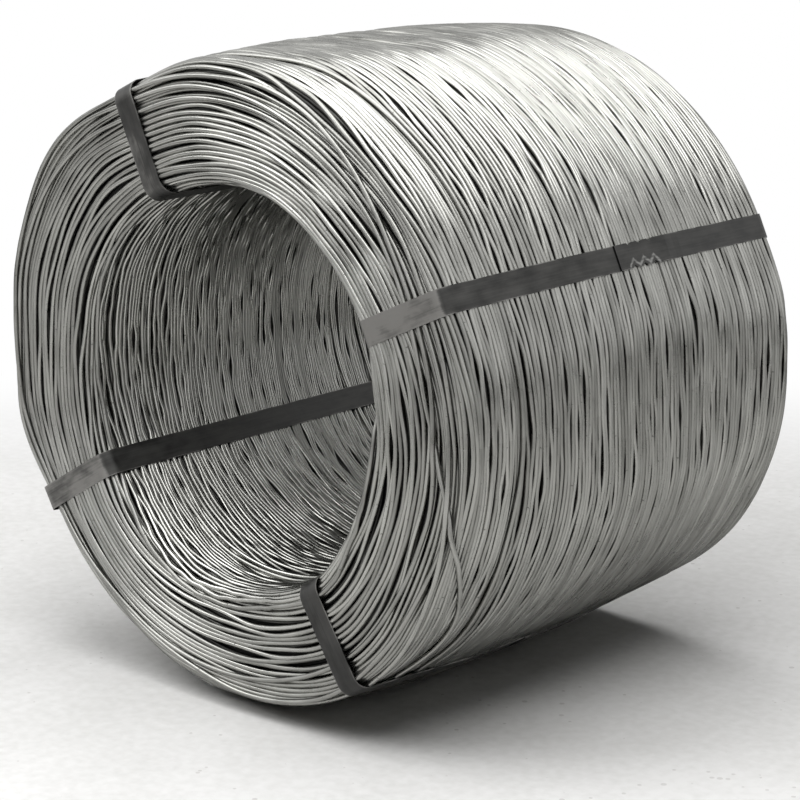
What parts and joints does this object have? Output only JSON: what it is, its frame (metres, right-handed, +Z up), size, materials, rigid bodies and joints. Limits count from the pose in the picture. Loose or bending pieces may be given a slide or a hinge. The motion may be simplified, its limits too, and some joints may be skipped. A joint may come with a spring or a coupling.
{
  "type": "coil of wire rod",
  "caption": "Strapped coil of bright steel wire rod with an open bore, lying on its side, held by flat steel straps.",
  "frame": {"origin": "on the floor, under the middle of the coil", "axes": "+Y along the coil's axis from the near end to the far end, +Z up"},
  "size_m": [0.824, 0.6322, 0.824],
  "materials": {
    "wire_rod": "satin",
    "strap_steel": "satin"
  },
  "bodies": {
    "root": {"coil": "wire_rod", "strap_right": "strap_steel", "strap_top": "strap_steel", "strap_left": "strap_steel", "strap_bottom": "strap_steel"}
  },
  "joints": []
}
